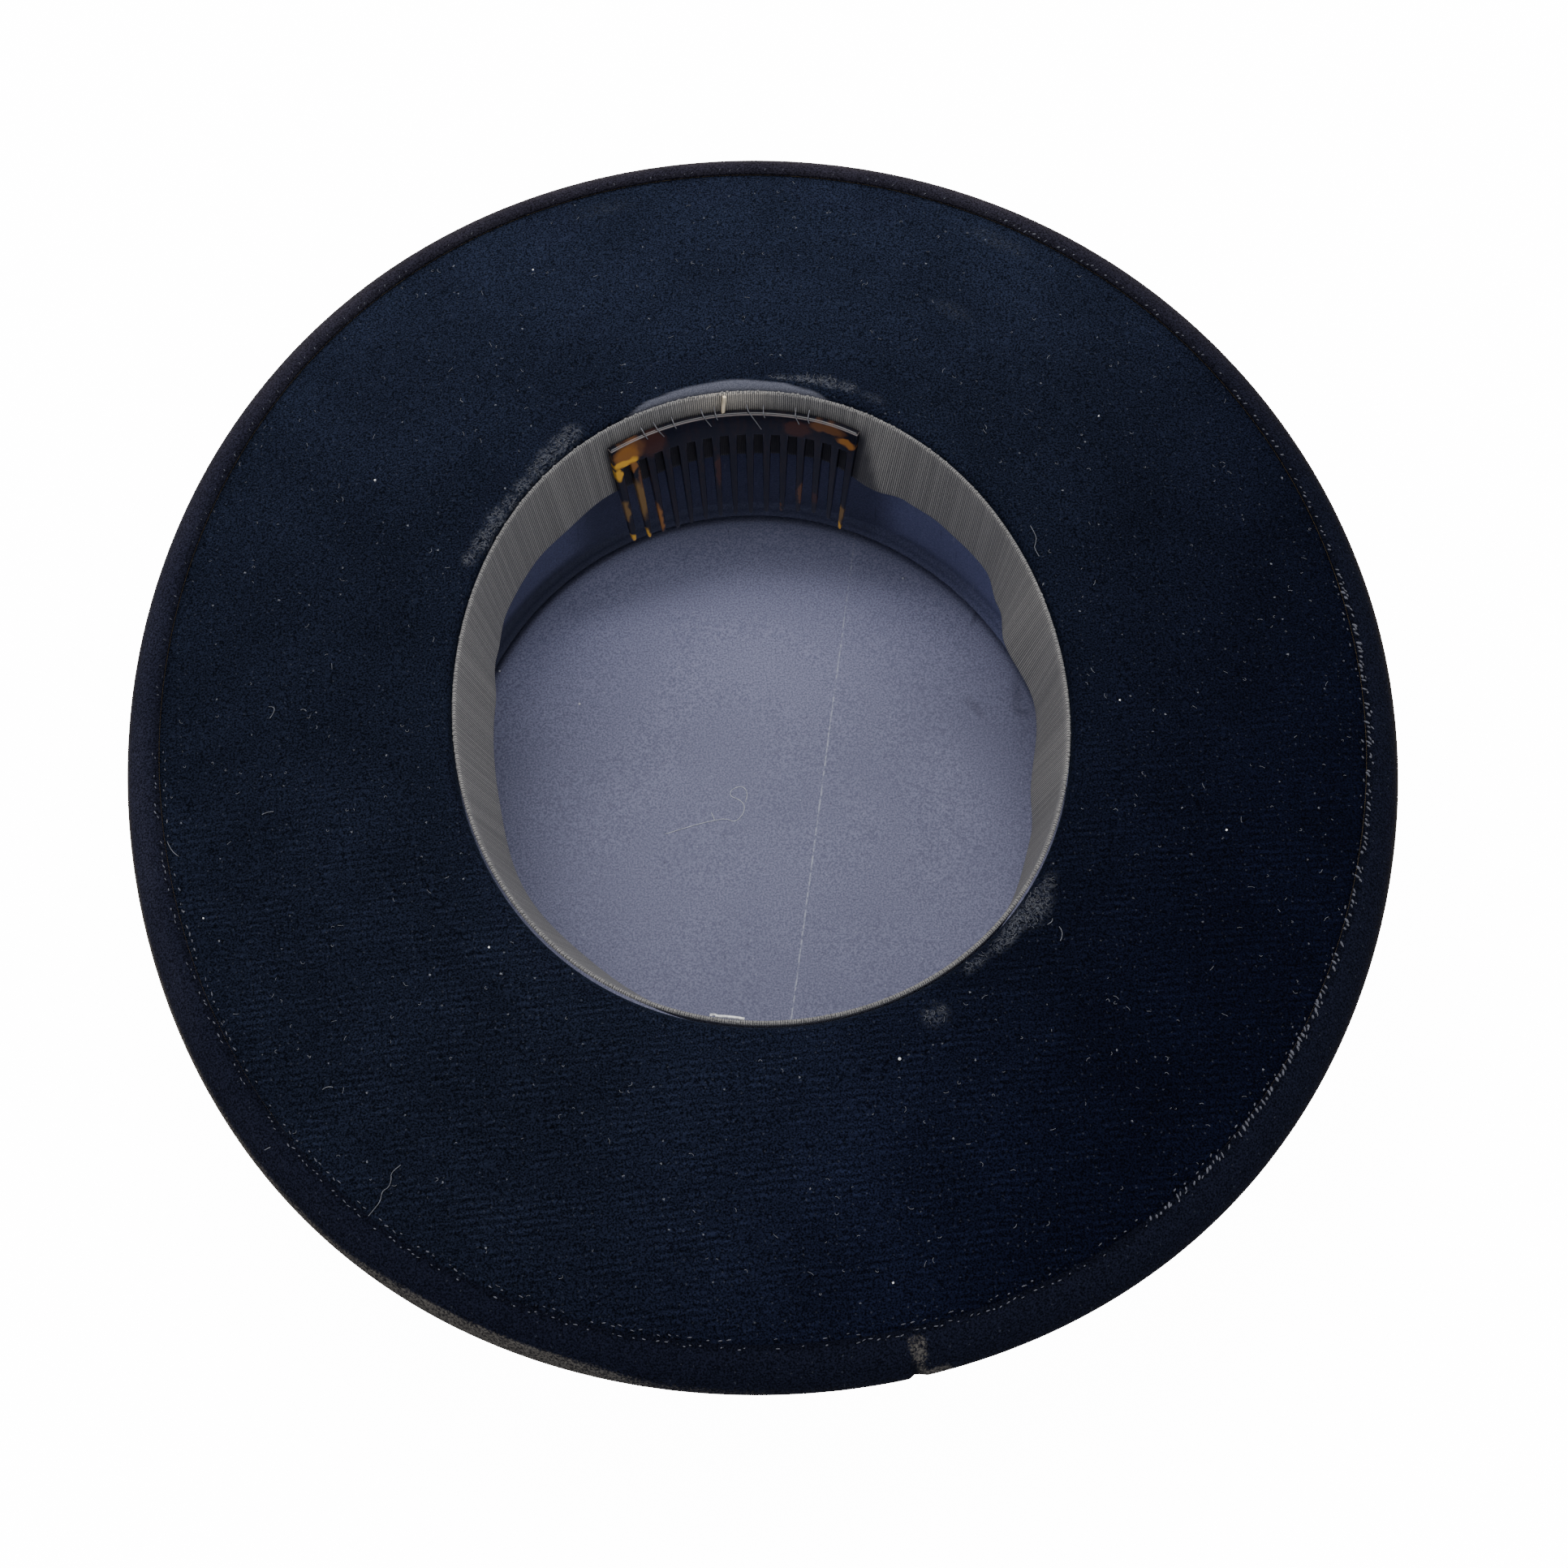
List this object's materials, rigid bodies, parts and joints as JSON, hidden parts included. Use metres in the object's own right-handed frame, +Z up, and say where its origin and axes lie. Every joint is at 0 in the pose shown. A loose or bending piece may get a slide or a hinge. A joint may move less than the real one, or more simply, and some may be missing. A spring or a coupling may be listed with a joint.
{
  "type": "velvet hat",
  "caption": "Wide-brimmed dark velvet hat with a shallow lined crown, a bound brim edge, a ribbon sweatband and a sewn-in hair comb, lying upside down on its flat crown tip.",
  "frame": {"origin": "middle of the crown tip's flat outer face, on which the hat lies upside down", "axes": "+Z up, out of the head opening; +Y towards the back of the hat, where the comb is; +X to the right as it lies"},
  "size_m": [0.3418, 0.3704, 0.0841],
  "materials": {
    "velvet": "midnight blue-black silk velvet with a short worn pile",
    "bound_velvet": "the same velvet, faded a little brown, cut on the bias",
    "lining": "thin grey-blue lining with a dull sheen",
    "grosgrain": "ribbed grosgrain ribbon, faded grey",
    "tortoiseshell": "polished mottled amber and brown-black",
    "thread": "matt sewing thread",
    "gilt_metal": "small tarnished gilt pin"
  },
  "bodies": {
    "root": {"brim": "velvet", "edge_binding": "bound_velvet", "crown_side": "velvet", "crown_tip": "velvet", "lining_side": "lining", "lining_tip": "lining", "sweatband": "grosgrain", "comb": "tortoiseshell"}
  },
  "joints": []
}
